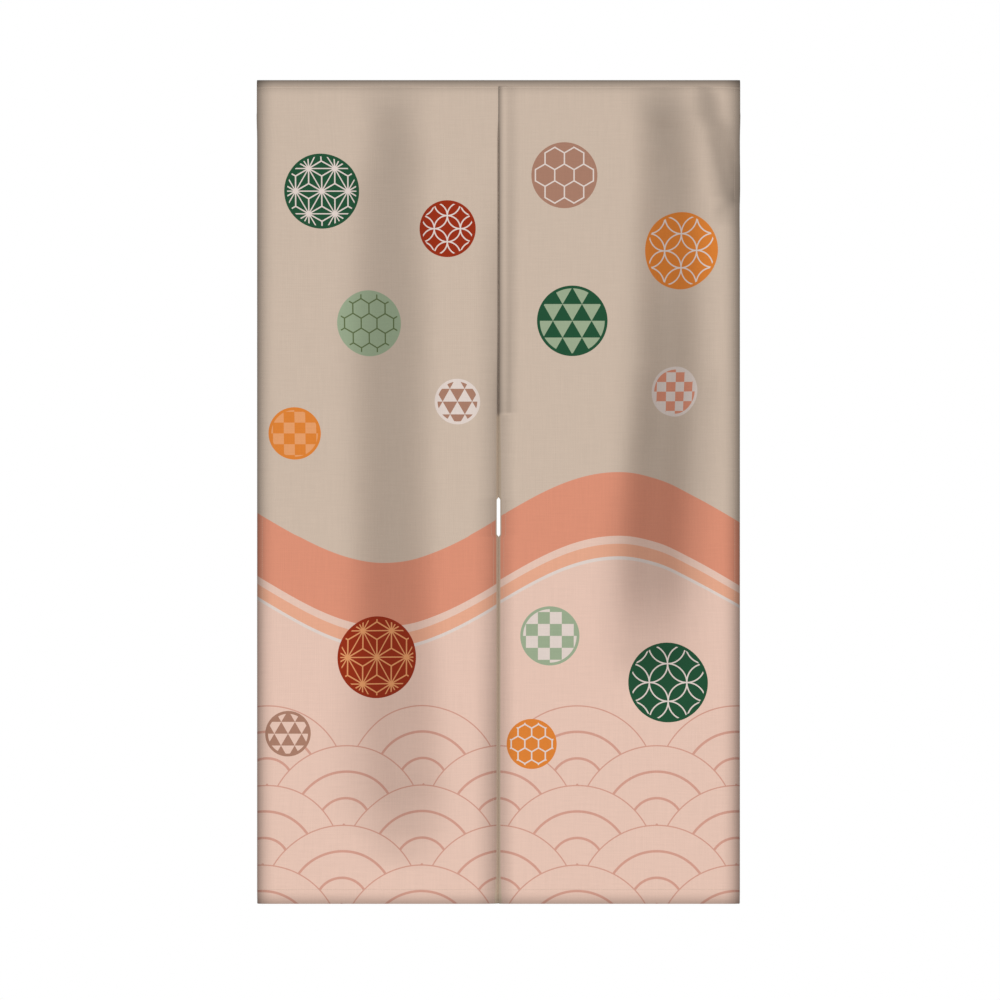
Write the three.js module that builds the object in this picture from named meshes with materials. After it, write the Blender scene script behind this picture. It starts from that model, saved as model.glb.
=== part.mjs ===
// A noren: a split curtain of printed cloth that hangs in a doorway from a rod through its heading.
// Millimetres, +Z up, +X to the right of a person who faces the curtain, -Y towards that person.
// The origin is the middle of the top edge, where the rod sleeve is held.
import * as THREE from 'three';

// Driving dimensions
const WIDTH = 850;
const HEIGHT = 1450;
const CLOTH = 1.2;
const HEM_EXTRA = 0.9;
const SIDE_HEM = 12;
const FOOT_HEM = 30;
const GAP = 0.3;

// The sleeve hangs as if round a rod, and its walls come together at a line of stitches
const STRIP_SHOWN = 12;
const SLEEVE_RADIUS = 11;
const STITCH_LINE = 50;
const SLEEVE_TAB = 8;
const ROUND_STEPS = 12;

// The panels are sewn together down to SEAM_END, measured from the top edge, and part below it
const SEAM_END = 584;
const SLIT_START = 594;

// How finely the cloth is stepped: distances in from each side edge, and the steps between
const OUTER_MARKS = [0, 4, 8, 12, 18];
const INNER_MARKS = [8, 12, 18];
const FIELD_STEPS = 22;
const FOOT_MARKS = [FOOT_HEM + 3, FOOT_HEM, 20, 10, 0];
const ROW_STEP = 52;

const HALF = WIDTH / 2;
const FRONT = -SLEEVE_RADIUS;
const PANEL_TOP = STRIP_SHOWN + GAP;
const SLEEVE_FOOT = STITCH_LINE + SLEEVE_TAB;

// Each panel's edge along the seam and the slit. down is the level below the top edge, at the edge's
// place across, lip the width of its steep last strip and sink how far that goes back, and reach and
// depth those of the soft curl before it. The left edge hangs behind the right one, so from the
// front the slit is closed but for a short gape half-way down.
const leftEdge = [
  { down: 58, at: -0.15, lip: 2.8, sink: 0, reach: 26, depth: 0 },
  { down: 110, at: -0.15, lip: 2.8, sink: 4, reach: 26, depth: 0 },
  { down: 420, at: -0.15, lip: 2.8, sink: 4, reach: 28, depth: 0 },
  { down: 584, at: -0.15, lip: 2.8, sink: 4, reach: 30, depth: 7 },
  { down: 594, at: 0.8, lip: 4.2, sink: 4, reach: 30, depth: 8 },
  { down: 690, at: 0.8, lip: 5, sink: 4, reach: 30, depth: 8.5 },
  { down: 733, at: 0.8, lip: 5, sink: 4, reach: 30, depth: 9 },
  { down: 739, at: -3, lip: 2, sink: 2, reach: 30, depth: 9 },
  { down: 799, at: -3, lip: 2, sink: 2, reach: 30, depth: 9.5 },
  { down: 805, at: 0.8, lip: 4.2, sink: 4, reach: 30, depth: 10 },
  { down: 1392, at: 0.8, lip: 4.2, sink: 4, reach: 30, depth: 10 },
  { down: 1420, at: 0.8, lip: 6.2, sink: 4, reach: 30, depth: 9.5 },
  { down: 1450, at: 0.8, lip: 7, sink: 3.6, reach: 30, depth: 8.5 },
];
const rightEdge = [
  { down: 58, at: 0.15, lip: 2.8, sink: 0, reach: 20, depth: 0 },
  { down: 110, at: 0.15, lip: 2.8, sink: 4, reach: 20, depth: 0 },
  { down: 584, at: 0.15, lip: 2.8, sink: 4, reach: 20, depth: 1 },
  { down: 594, at: -0.2, lip: 3.4, sink: 3, reach: 22, depth: 1.5 },
  { down: 690, at: -0.2, lip: 4.6, sink: 3, reach: 22, depth: 2 },
  { down: 733, at: -0.2, lip: 4.6, sink: 3, reach: 22, depth: 2 },
  { down: 739, at: 3, lip: 2, sink: 2, reach: 22, depth: 2 },
  { down: 799, at: 3, lip: 2, sink: 2, reach: 22, depth: 2 },
  { down: 805, at: -0.2, lip: 3.4, sink: 3, reach: 22, depth: 2.5 },
  { down: 1392, at: -0.2, lip: 3.4, sink: 3, reach: 22, depth: 2.5 },
  { down: 1420, at: -0.2, lip: 4.8, sink: 3, reach: 22, depth: 2.8 },
  { down: 1450, at: -0.2, lip: 5.6, sink: 2.8, reach: 22, depth: 3 },
];
const CURL_POWER = 2.2;

// The folds. Each row is one level of a fold: down is the distance below the top edge, centre its
// place across the curtain, reach half its width, and depth how far the cloth lies back there.
const leftHollow = [
  { down: 58, centre: -186, reach: 84, depth: 0 },
  { down: 100, centre: -186, reach: 84, depth: 10 },
  { down: 160, centre: -186, reach: 84, depth: 19 },
  { down: 500, centre: -186, reach: 84, depth: 25 },
  { down: 870, centre: -184, reach: 86, depth: 29 },
  { down: 1090, centre: -174, reach: 86, depth: 26 },
  { down: 1230, centre: -164, reach: 84, depth: 24 },
  { down: 1330, centre: -154, reach: 80, depth: 13 },
  { down: 1410, centre: -148, reach: 76, depth: 0 },
];
const rightHollow = [
  { down: 58, centre: 288, reach: 70, depth: 0 },
  { down: 95, centre: 292, reach: 70, depth: 14 },
  { down: 150, centre: 297, reach: 70, depth: 22 },
  { down: 490, centre: 300, reach: 70, depth: 28 },
  { down: 600, centre: 288, reach: 70, depth: 31 },
  { down: 700, centre: 279, reach: 72, depth: 30 },
  { down: 880, centre: 272, reach: 74, depth: 28 },
  { down: 1000, centre: 270, reach: 76, depth: 12 },
  { down: 1090, centre: 270, reach: 76, depth: 0 },
];
// The hollow that runs out from the top to the right-hand edge
const cornerHollow = [
  { down: 58, centre: 374, reach: 26, depth: 0 },
  { down: 90, centre: 385, reach: 27, depth: 6 },
  { down: 140, centre: 399, reach: 28, depth: 9 },
  { down: 178, centre: 409, reach: 28, depth: 10 },
  { down: 230, centre: 425, reach: 30, depth: 7 },
  { down: 300, centre: 440, reach: 32, depth: 0 },
];

// The outer edges and the foot curl back: reach is the width that curls, and depth how far back
const outerCurl = { reach: 17, depth: 5, power: 2.5 };
const footCurl = { reach: 33, depth: 8, power: 2 };

// The seam allowance, pressed under the right panel, lifts a strip of it beside the seam
const allowance = { reach: 18, fall: 6, rise: 1.4 };

const panels = [
  { name: 'panel_left', side: -1, edge: leftEdge, hollows: [leftHollow], lift: 0 },
  {
    name: 'panel_right',
    side: 1,
    edge: rightEdge,
    hollows: [rightHollow, cornerHollow],
    lift: allowance.rise,
  },
];

function ease(t) {
  const s = Math.min(1, Math.max(0, t));
  return s * s * (3 - 2 * s);
}

// One column of a table at a level between two of its rows
function level(rows, down, column) {
  const next = rows.findIndex((row) => down <= row.down);
  if (next === 0) return rows[0][column];
  if (next < 0) return rows.at(-1)[column];
  const above = rows[next - 1];
  const below = rows[next];
  const share = ease((down - above.down) / (below.down - above.down));
  return above[column] + (below[column] - above[column]) * share;
}

function hollowBack(rows, x, down) {
  const off = Math.abs(x - level(rows, down, 'centre')) / level(rows, down, 'reach');
  return off < 1 ? level(rows, down, 'depth') * (0.5 + 0.5 * Math.cos(Math.PI * off)) : 0;
}

function curlBack(toEdge, reach, depth, power) {
  return depth * Math.max(0, 1 - toEdge / reach) ** power;
}

function toInnerEdge(panel, x, down) {
  return panel.side * (x - level(panel.edge, down, 'at'));
}

// How far the cloth lies behind the plane of the sleeve's front
function lie(panel, x, down) {
  const toInner = toInnerEdge(panel, x, down);
  const edge = (column) => level(panel.edge, down, column);
  const sewn = 1 - ease((down - SEAM_END) / (SLIT_START - SEAM_END));
  const free = ease((down - SLEEVE_FOOT) / ROW_STEP);
  const folds = panel.hollows.reduce((sum, rows) => sum + hollowBack(rows, x, down), 0);
  const curled = curlBack(toInner, edge('reach'), edge('depth'), CURL_POWER);
  const lip = curlBack(toInner, edge('lip'), edge('sink'), 1);
  const lifted = panel.lift * sewn * ease((allowance.reach - toInner) / allowance.fall);
  const outerEdge = free * curlBack(HALF - Math.abs(x), outerCurl.reach, outerCurl.depth, outerCurl.power);
  const foot = curlBack(HEIGHT - down, footCurl.reach, footCurl.depth, footCurl.power);
  return folds + curled + lip - lifted + outerEdge + foot;
}

// A hem is the same cloth turned back and sewn down, so it is thicker
function thicknessAt(panel, x, down) {
  const toSide = Math.min(HALF - Math.abs(x), toInnerEdge(panel, x, down));
  const inHem = toSide <= SIDE_HEM || HEIGHT - down <= FOOT_HEM;
  return inHem && down > SLEEVE_FOOT ? CLOTH + HEM_EXTRA : CLOTH;
}

// Rows at every level where an edge changes, with even steps between them
function rowLevels() {
  const footLevels = FOOT_MARKS.map((up) => HEIGHT - up);
  const edgeLevels = leftEdge.map((row) => row.down).filter((down) => down < footLevels[0]);
  const levels = [PANEL_TOP];
  [...edgeLevels, ...footLevels].forEach((mark) => {
    const last = levels.at(-1);
    const steps = Math.ceil((mark - last) / ROW_STEP);
    for (let i = 1; i <= steps; i += 1) levels.push(last + ((mark - last) * i) / steps);
  });
  return levels;
}

// Places across a panel at one level, from its outer edge to its inner one
function columnPlaces(panel, down) {
  const innerEdge = level(panel.edge, down, 'at');
  const lip = level(panel.edge, down, 'lip');
  const outer = OUTER_MARKS.map((mark) => panel.side * (HALF - mark));
  const inner = [0, lip / 2, lip, ...INNER_MARKS].map((mark) => innerEdge + panel.side * mark).reverse();
  const step = (inner[0] - outer.at(-1)) / FIELD_STEPS;
  const field = Array.from({ length: FIELD_STEPS - 1 }, (_, i) => outer.at(-1) + (i + 1) * step);
  return [...outer, ...field, ...inner];
}

// The surface's normal at a point of a grid, pointing to the back of the curtain
function normalAt(grid, r, c) {
  const across = grid[r][Math.min(c + 1, grid[r].length - 1)].clone().sub(grid[r][Math.max(c - 1, 0)]);
  const along = grid[Math.min(r + 1, grid.length - 1)][c].clone().sub(grid[Math.max(r - 1, 0)][c]);
  const normal = across.cross(along).normalize();
  return normal.y < 0 ? normal.negate() : normal;
}

// A grid of points on the panel's front, and the same grid set back by the cloth's thickness.
// The back stays inside the panel's own outline, so edges are cut square.
function panelGeometry(panel) {
  const rows = rowLevels();
  const front = rows.map((down) => columnPlaces(panel, down).map(
    (x) => new THREE.Vector3(x, FRONT + lie(panel, x, down), -down),
  ));
  const back = front.map((line, r) => line.map((point, c) => {
    const overSleeve = rows[r] <= SLEEVE_FOOT;
    const normal = overSleeve ? new THREE.Vector3(0, 1, 0) : normalAt(front, r, c);
    const set = point.clone().addScaledVector(normal, thicknessAt(panel, point.x, rows[r]));
    const pastInner = Math.min(0, toInnerEdge(panel, set.x, rows[r]));
    set.x = panel.side * Math.min(HALF, panel.side * set.x - pastInner);
    set.z = r === rows.length - 1 ? -HEIGHT : Math.max(set.z, -HEIGHT);
    return set;
  }));
  return sheetGeometry(front, back, panel.side);
}

// Joins two grids into one closed body. side is -1 where the columns run to the right.
function sheetGeometry(front, back, side) {
  const height = front.length;
  const width = front[0].length;
  const positions = [...front.flat(), ...back.flat()].flatMap((p) => [p.x, p.y, p.z]);
  const frontAt = (r, c) => r * width + c;
  const backAt = (r, c) => (height + r) * width + c;
  const faces = [];
  const quad = (a, b, c, d) => {
    faces.push(...(side < 0 ? [a, b, c, a, c, d] : [a, c, b, a, d, c]));
  };
  const lastRow = height - 1;
  const lastColumn = width - 1;
  for (let r = 0; r < lastRow; r += 1) {
    for (let c = 0; c < lastColumn; c += 1) {
      quad(frontAt(r, c), frontAt(r + 1, c), frontAt(r + 1, c + 1), frontAt(r, c + 1));
      quad(backAt(r, c), backAt(r, c + 1), backAt(r + 1, c + 1), backAt(r + 1, c));
    }
    quad(frontAt(r, 0), backAt(r, 0), backAt(r + 1, 0), frontAt(r + 1, 0));
    quad(
      frontAt(r, lastColumn),
      frontAt(r + 1, lastColumn),
      backAt(r + 1, lastColumn),
      backAt(r, lastColumn),
    );
  }
  for (let c = 0; c < lastColumn; c += 1) {
    quad(frontAt(0, c), frontAt(0, c + 1), backAt(0, c + 1), backAt(0, c));
    quad(frontAt(lastRow, c), backAt(lastRow, c), backAt(lastRow, c + 1), frontAt(lastRow, c + 1));
  }
  const geometry = new THREE.BufferGeometry();
  geometry.setAttribute('position', new THREE.Float32BufferAttribute(positions, 3));
  geometry.setIndex(faces);
  geometry.computeVertexNormals();
  return geometry;
}

// The sleeve's section, drawn with X from front to back and Y up. Its front wall runs straight up
// to the round top, and its back wall leaves the round on a tangent and meets the front wall at the
// stitches. Below the strip that shows, the front steps back behind the panels.
function sleeveSection() {
  const steppedFront = FRONT + CLOTH + GAP;
  const tabBack = steppedFront + 2 * CLOTH;
  const innerFront = steppedFront + CLOTH;
  const innerRadius = SLEEVE_RADIUS - CLOTH;
  const drop = STITCH_LINE - SLEEVE_RADIUS;
  const toStitches = Math.atan2(-drop, tabBack);
  const tangent = toStitches + Math.acos(SLEEVE_RADIUS / Math.hypot(drop, tabBack));

  const section = new THREE.Shape();
  section.moveTo(steppedFront, -SLEEVE_FOOT);
  section.lineTo(steppedFront, -STRIP_SHOWN);
  section.lineTo(FRONT, -STRIP_SHOWN);
  section.absarc(0, -SLEEVE_RADIUS, SLEEVE_RADIUS, Math.PI, tangent, true);
  section.lineTo(tabBack, -STITCH_LINE);
  section.lineTo(tabBack, -SLEEVE_FOOT);

  const joinAngle = Math.acos(innerFront / innerRadius);
  const run = (innerFront - innerRadius * Math.cos(tangent)) / Math.sin(tangent);
  const innerMeet = -SLEEVE_RADIUS + innerRadius * Math.sin(tangent) - run * Math.cos(tangent);
  const inside = new THREE.Path();
  inside.moveTo(innerFront, innerMeet);
  inside.lineTo(
    innerRadius * Math.cos(tangent),
    -SLEEVE_RADIUS + innerRadius * Math.sin(tangent),
  );
  inside.absarc(0, -SLEEVE_RADIUS, innerRadius, tangent, joinAngle, false);
  section.holes.push(inside);
  return section;
}

// The section, run out along the curtain's width
function sleeveGeometry() {
  const geometry = new THREE.ExtrudeGeometry(sleeveSection(), {
    depth: WIDTH,
    bevelEnabled: false,
    curveSegments: ROUND_STEPS,
  });
  const toPlace = new THREE.Matrix4().makeBasis(
    new THREE.Vector3(0, 1, 0),
    new THREE.Vector3(0, 0, 1),
    new THREE.Vector3(1, 0, 0),
  );
  geometry.applyMatrix4(toPlace);
  geometry.translate(-HALF, 0, 0);
  return geometry;
}

function piece(name, geometry, finish) {
  const mesh = new THREE.Mesh(geometry, new THREE.MeshStandardMaterial(finish));
  mesh.name = name;
  return mesh;
}

const headingCloth = { color: 0xcab7a6, roughness: 0.9, metalness: 0 };
const panelCloth = { color: 0xd5bdac, roughness: 0.9, metalness: 0 };

const curtain = new THREE.Group();
curtain.add(piece('heading', sleeveGeometry(), headingCloth));
panels.forEach((panel) => curtain.add(piece(panel.name, panelGeometry(panel), panelCloth)));

export default curtain;
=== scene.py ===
import math

import bpy
import numpy as np
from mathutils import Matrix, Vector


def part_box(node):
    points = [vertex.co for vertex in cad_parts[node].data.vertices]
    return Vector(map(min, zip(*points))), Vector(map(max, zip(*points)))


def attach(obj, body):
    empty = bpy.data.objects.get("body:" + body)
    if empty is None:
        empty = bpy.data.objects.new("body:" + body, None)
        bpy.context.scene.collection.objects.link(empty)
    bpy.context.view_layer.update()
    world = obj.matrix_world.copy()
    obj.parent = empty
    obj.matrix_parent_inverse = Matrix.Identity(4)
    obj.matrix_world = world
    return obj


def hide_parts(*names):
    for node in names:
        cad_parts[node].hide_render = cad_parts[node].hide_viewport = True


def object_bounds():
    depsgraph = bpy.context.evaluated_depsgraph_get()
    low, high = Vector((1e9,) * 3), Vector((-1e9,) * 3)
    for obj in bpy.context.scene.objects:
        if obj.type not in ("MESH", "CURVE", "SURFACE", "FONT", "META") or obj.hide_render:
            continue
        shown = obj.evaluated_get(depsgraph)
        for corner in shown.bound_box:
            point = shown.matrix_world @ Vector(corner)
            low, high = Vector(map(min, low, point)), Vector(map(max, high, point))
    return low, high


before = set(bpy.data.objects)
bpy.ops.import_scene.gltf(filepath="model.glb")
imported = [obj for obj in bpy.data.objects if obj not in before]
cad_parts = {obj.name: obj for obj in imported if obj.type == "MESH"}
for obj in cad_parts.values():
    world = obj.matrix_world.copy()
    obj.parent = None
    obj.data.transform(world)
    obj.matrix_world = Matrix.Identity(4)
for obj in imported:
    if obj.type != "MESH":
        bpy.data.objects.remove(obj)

cad_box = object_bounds()

# The view
# The camera faces the printed side squarely, as in the photograph, through a long lens that
# keeps the straight outline straight. The sizes are true at the depth to which the edges curl.
PHOTO_SIDE = 1000
TOP_PIXEL, FOOT_PIXEL, SEAM_PIXEL = 80, 904, 498.5
LENS_MM, SENSOR_MM = 200, 36
OUTLINE_DEPTH = 0.008

sleeve_low, sleeve_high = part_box("heading")
TOP, FRONT = 0.0, sleeve_low.y
HALF_WIDTH, FOOT = sleeve_high.x, cad_box[0].z
metres_a_pixel = (TOP - FOOT) / (FOOT_PIXEL - TOP_PIXEL)

lens = bpy.data.cameras.new("View")
lens.lens, lens.sensor_width = LENS_MM, SENSOR_MM
camera = bpy.data.objects.new("View", lens)
camera.location = (
    (PHOTO_SIDE / 2 - SEAM_PIXEL) * metres_a_pixel,
    FRONT + OUTLINE_DEPTH - metres_a_pixel * PHOTO_SIDE * LENS_MM / SENSOR_MM,
    TOP - (PHOTO_SIDE / 2 - TOP_PIXEL) * metres_a_pixel,
)
camera.rotation_euler = (math.pi / 2, 0, 0)
bpy.context.collection.objects.link(camera)
bpy.context.scene.camera = camera

# The studio
# A pale matt floor where a doorway's floor would be, a white surround, and two broad soft
# lamps: one square on from behind the camera, and a weaker one for the back of the cloth.
FLOOR_DROP, FLOOR_SIDE = 0.5, 3.0
SURROUND_LIGHT = 0.45
GAMMA = 2.2
FRONT_LAMP = {"watts": 247, "side": 3.2, "place": (-0.3, -6.6, -0.3)}
BACK_LAMP = {"watts": 170, "side": 3.2, "place": (0.6, 6.4, -0.2)}


def linear(hex_colour):
    """An sRGB hex colour as linear red, green and blue with an alpha of 1."""
    parts = [int(hex_colour[i:i + 2], 16) / 255 for i in (0, 2, 4)]
    return [p / 12.92 if p <= 0.04045 else ((p + 0.055) / 1.055) ** 2.4 for p in parts] + [1.0]


def put(tree, kind, into=None, **settings):
    """Adds a node with its settings, and fills its inputs with values, from other sockets, or
    from the first output of other nodes."""
    made = tree.nodes.new(kind)
    for name, value in settings.items():
        setattr(made, name, value)
    for socket, value in (into or {}).items():
        if isinstance(value, bpy.types.Node):
            value = value.outputs[0]
        if isinstance(value, bpy.types.NodeSocket):
            tree.links.new(value, made.inputs[socket])
        else:
            made.inputs[socket].default_value = value
    return made


def painted(tree, under, over, where):
    """One colour over another where a number is 1. A colour is a hex value or a node's."""
    below, above = [linear(c) if isinstance(c, str) else c for c in (under, over)]
    mix = put(tree, "ShaderNodeMix", {0: where, 6: below, 7: above}, data_type="RGBA")
    return mix.outputs[2]


def with_painted_shading(tree, colour):
    """A colour made as much darker as the painted shade in the mesh attribute says, a share of its
    value to the eye.
    """
    painted_shading = put(tree, "ShaderNodeAttribute", attribute_name="painted_shading")
    share = put(tree, "ShaderNodeMath", {0: painted_shading.outputs["Fac"], 1: GAMMA}, operation="POWER")
    dimmed = put(tree, "ShaderNodeVectorMath", {0: colour, "Scale": share}, operation="SCALE")
    return dimmed.outputs[0]


bpy.context.scene.view_settings.view_transform = "Standard"
surround = bpy.data.worlds.new("White surround")
surround.use_nodes = True
sky = surround.node_tree
sky.nodes.clear()
lit = put(sky, "ShaderNodeBackground", {"Color": linear("FFFFFF"), "Strength": SURROUND_LIGHT})
seen = put(sky, "ShaderNodeBackground", {"Color": linear("FFFFFF"), "Strength": 1.0})
ray = put(sky, "ShaderNodeLightPath")
both = put(
    sky,
    "ShaderNodeMixShader",
    {0: ray.outputs["Is Camera Ray"], 1: lit, 2: seen},
)
put(sky, "ShaderNodeOutputWorld", {"Surface": both})
bpy.context.scene.world = surround

for name, lamp in (("Front softbox", FRONT_LAMP), ("Back softbox", BACK_LAMP)):
    light = bpy.data.lights.new(name, "AREA")
    light.energy, light.size = lamp["watts"], lamp["side"]
    light_object = bpy.data.objects.new(name, light)
    light_object.location = lamp["place"]
    facing = -1 if lamp["place"][1] > 0 else 1
    light_object.rotation_euler = (facing * math.pi / 2, 0, 0)
    light_object.visible_camera = False
    bpy.context.collection.objects.link(light_object)

floor_mesh = bpy.data.meshes.new("Floor")
reach, floor_z = FLOOR_SIDE / 2, FOOT - FLOOR_DROP
corners = [(x * reach, y * reach, floor_z) for x, y in ((-1, -1), (1, -1), (1, 1), (-1, 1))]
floor_mesh.from_pydata(corners, [], [(0, 1, 2, 3)])
floor = bpy.data.objects.new("Floor", floor_mesh)
bpy.context.collection.objects.link(floor)

# Coated studio paper has no gloss, and only a faint mottle from its fibres, some 25 mm across
pale = bpy.data.materials.new("Matt white paper")
pale.use_nodes = True
mottle = put(pale.node_tree, "ShaderNodeTexNoise", {"Scale": 1 / 0.025, "Detail": 3.0})
paper = pale.node_tree.nodes["Principled BSDF"]
paper.inputs["Roughness"].default_value = 0.9
fibres = painted(pale.node_tree, "F4F3F1", "F8F7F5", mottle.outputs["Fac"])
pale.node_tree.links.new(fibres, paper.inputs["Base Color"])
floor_mesh.materials.append(pale)

# The heading
# A strip of the same woven polyester, unprinted beige, folded over into a rod sleeve. Its two
# edges are sewn together in a flat tab behind the panels, and its top 12 mm shows above them.
MM = 0.001
CLOTH = 1.2 * MM
GAP = 0.3 * MM
PANEL_TOP = 12.6 * MM
SLEEVE_RADIUS = -FRONT
STITCH_LINE = 50 * MM
SLEEVE_FOOT = 58 * MM
HEADING_STEP = 8 * MM
HEADING_ENDS = (0.5, 1.5, 3, 5, 7.5, 10.5, 14, 18, 23, 29)
BEIGE = "CAB7A6"

# The front wall stands behind the panels and comes forward above them, to lie flush with them.
# After that come the steps from point to point along the front wall, this jog, the round, the
# back wall and the tab.
JOG_LEVEL, JOG_HEIGHT, TAB_GAP = 13 * MM, 2 * MM, 0.1 * MM
WALL_STEPS, JOG_STEPS, ROUND_STEPS, BACK_STEPS, TAB_STEPS = 12, 6, 28, 8, 3

# A sheet's rim stands out by a share of its thickness, which rounds it
RIM_SHARE = 0.45

# The weave is drawn at about five times its real thread spacing, so that it just shows. A wave
# texture of scale 1 has a period of a twentieth of a turn. Slubs are 45 to 60 mm long and 2.4 mm
# wide, given as how many fit in a metre across the cloth and down it. They stand out less than
# the threads do.
THREAD_PITCH = 3.2 * MM
WAVE_PERIOD = math.tau / 20
WEFT_SLUBS, WARP_SLUBS = (22.0, 420.0, 1.0), (420.0, 16.0, 1.0)
SLUB_RELIEF = 0.6


def ease(t):
    """A smooth rise from 0 to 1 while t does the same."""
    t = np.clip(t, 0.0, 1.0)
    return t * t * (3 - 2 * t)


def curl(to_edge, reach, depth, power):
    """What falls off from depth at an edge to nothing at reach from it."""
    return depth * np.clip(1 - to_edge / reach, 0, None) ** power


def cloth_sheet(name, face, back, places, values, hem, materials):
    """A closed sheet from two grids of points, its face and its back, with a rounded rim.

    places is the grid of positions on the flat cloth, values holds a grid for each attribute,
    and hem says where the back is turned-over cloth, which shows the face's own finish."""
    rows, columns = face.shape[:2]
    at = np.arange(rows * columns).reshape(rows, columns)
    rim = np.concatenate([at[0, :-1], at[:-1, -1], at[-1, :0:-1], at[:0:-1, 0]])
    row, column = np.divmod(rim, columns)
    inward = (np.clip(row, 1, rows - 2), np.clip(column, 1, columns - 2))
    middle = (face + back) / 2
    outward = middle[row, column] - middle[inward]
    outward /= np.linalg.norm(outward, axis=1, keepdims=True)
    thick = np.linalg.norm(face - back, axis=2)[row, column][:, None]
    edge = middle[row, column] + outward * thick * RIM_SHARE
    points = np.concatenate([face.reshape(-1, 3), back.reshape(-1, 3), edge])

    a, b, c, d = at[:-1, :-1].ravel(), at[1:, :-1].ravel(), at[1:, 1:].ravel(), at[:-1, 1:].ravel()
    count = rows * columns
    near = np.stack([a, b, c, d], 1)
    far = np.stack([a, d, c, b], 1) + count
    this, following = np.arange(len(rim)), np.roll(np.arange(len(rim)), -1)
    first = np.stack([rim[this], rim[following], 2 * count + following, 2 * count + this], 1)
    second = [2 * count + this, 2 * count + following, rim[following] + count, rim[this] + count]
    second = np.stack(second, 1)
    faces = np.concatenate([near, far, first, second])

    mesh = bpy.data.meshes.new(name)
    mesh.from_pydata(points.tolist(), [], faces.tolist())
    corner = np.empty(len(mesh.loops), dtype=np.int32)
    mesh.loops.foreach_get("vertex_index", corner)
    flat = places.reshape(-1, 2)
    flat = np.concatenate([flat, flat, flat[rim]])
    cloth_map = mesh.uv_layers.new(name="Cloth")
    cloth_map.uv.foreach_set("vector", flat[corner].astype(np.float32).ravel())
    for key, grid in values.items():
        line = grid.ravel()
        layer = mesh.attributes.new(key, "FLOAT", "POINT")
        layer.data.foreach_set("value", np.concatenate([line, line, line[rim]]).astype(np.float32))
    turned = (hem[:-1, :-1] & hem[1:, 1:]).ravel()
    finish = np.zeros(len(faces), dtype=np.int32)
    finish[len(near):len(near) + len(far)] = np.where(turned, 0, 1)
    mesh.polygons.foreach_set("material_index", finish)
    mesh.polygons.foreach_set("use_smooth", np.ones(len(faces), dtype=bool))
    for material in materials:
        mesh.materials.append(material)
    mesh.validate()
    piece = bpy.data.objects.new(name, mesh)
    bpy.context.collection.objects.link(piece)
    return piece


def woven_polyester(name, draw_colour):
    """Plain-woven spun polyester: matt, with fine crossing threads, slight slubs and a soft
    bloom at grazing angles. draw_colour adds the nodes of its colour and returns their socket."""
    material = bpy.data.materials.new(name)
    material.use_nodes = True
    tree = material.node_tree
    shader = tree.nodes["Principled BSDF"]
    place = put(tree, "ShaderNodeUVMap", uv_map="Cloth")
    colour = draw_colour(tree, place.outputs["UV"])
    threads = []
    for bands, slub_scale in (("Y", WEFT_SLUBS), ("X", WARP_SLUBS)):
        wave = put(
            tree,
            "ShaderNodeTexWave",
            {
                "Vector": place.outputs["UV"],
                "Scale": WAVE_PERIOD / THREAD_PITCH,
                "Distortion": 0.6,
                "Detail": 1.0,
            },
            bands_direction=bands,
        )
        stretched = put(
            tree,
            "ShaderNodeVectorMath",
            {0: place.outputs["UV"], 1: slub_scale},
            operation="MULTIPLY",
        )
        slub = put(
            tree,
            "ShaderNodeTexNoise",
            {"Vector": stretched, "Scale": 1.0, "Detail": 2.0},
        )
        threads.append((wave.outputs["Fac"], slub.outputs["Fac"]))
    (weft, weft_slub), (warp, warp_slub) = threads
    crossing = put(tree, "ShaderNodeMath", {0: weft, 1: warp}, operation="MULTIPLY")
    slubs = put(tree, "ShaderNodeMath", {0: weft_slub, 1: warp_slub}, operation="ADD")
    unevenness = put(
        tree,
        "ShaderNodeMapRange",
        {
            "Value": slubs,
            "From Min": 0.7,
            "From Max": 1.3,
            "To Min": 0.965,
            "To Max": 1.025,
        },
    )
    uneven = put(
        tree,
        "ShaderNodeVectorMath",
        {0: colour, "Scale": unevenness},
        operation="SCALE",
    )
    tree.links.new(uneven.outputs[0], shader.inputs["Base Color"])
    relief = put(
        tree,
        "ShaderNodeMath",
        {0: slubs, 1: SLUB_RELIEF, 2: crossing},
        operation="MULTIPLY_ADD",
    )
    bump = put(
        tree,
        "ShaderNodeBump",
        {"Strength": 0.35, "Distance": 0.25 * MM, "Height": relief},
    )
    tree.links.new(bump.outputs[0], shader.inputs["Normal"])
    rough = put(
        tree,
        "ShaderNodeMapRange",
        {"Value": crossing, "To Min": 0.94, "To Max": 0.84},
    )
    tree.links.new(rough.outputs[0], shader.inputs["Roughness"])
    shader.inputs["Specular IOR Level"].default_value = 0.25
    shader.inputs["Sheen Weight"].default_value = 0.06
    shader.inputs["Sheen Roughness"].default_value = 0.5
    return material


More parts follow.
